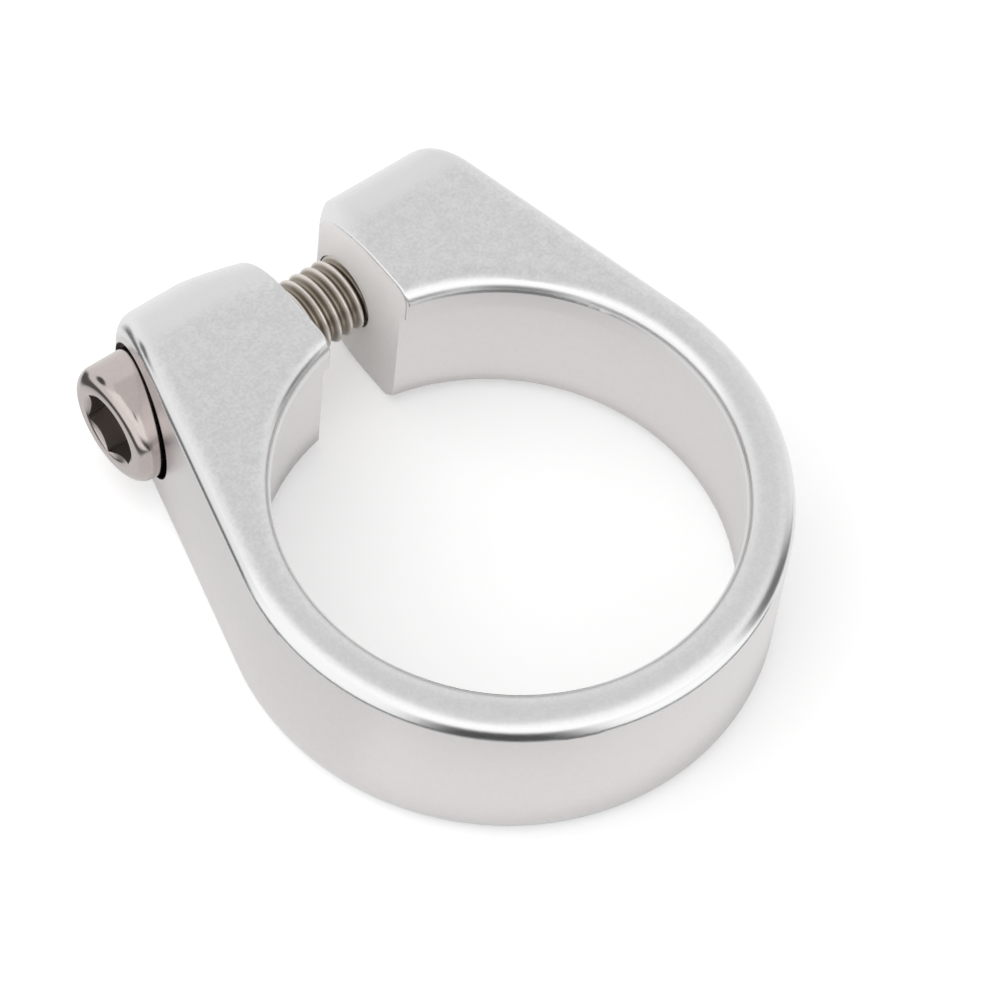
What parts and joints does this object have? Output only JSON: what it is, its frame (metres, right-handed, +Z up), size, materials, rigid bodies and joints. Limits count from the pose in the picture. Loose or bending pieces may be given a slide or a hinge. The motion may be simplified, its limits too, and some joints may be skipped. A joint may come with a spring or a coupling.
{
  "type": "seatpost clamp",
  "caption": "Split ring clamp with rounded ears drawn together by a recessed socket head bolt, and an inner lip that stops on the end of the seat tube it grips.",
  "frame": {"origin": "on the bore axis, at the shoulder under the inner lip that stops on the end of the seat tube", "axes": "+Z up the seatpost, +Y towards the ears, bolt along X with its head at -X"},
  "size_m": [0.0404, 0.0497, 0.0147],
  "materials": {
    "collar": "bead-blasted silver anodised faces with smooth rounded edges",
    "bolt": "bright nickel-plated head, darker oily thread"
  },
  "bodies": {
    "collar": {"collar": "collar"},
    "bolt": {"bolt": "bolt"}
  },
  "joints": [
    {"name": "bolt_turn", "type": "hinge", "parent": "collar", "child": "bolt", "pos_m": [0, 0.0236, -0.0048], "axis": [1, 0, 0], "continuous": true}
  ]
}
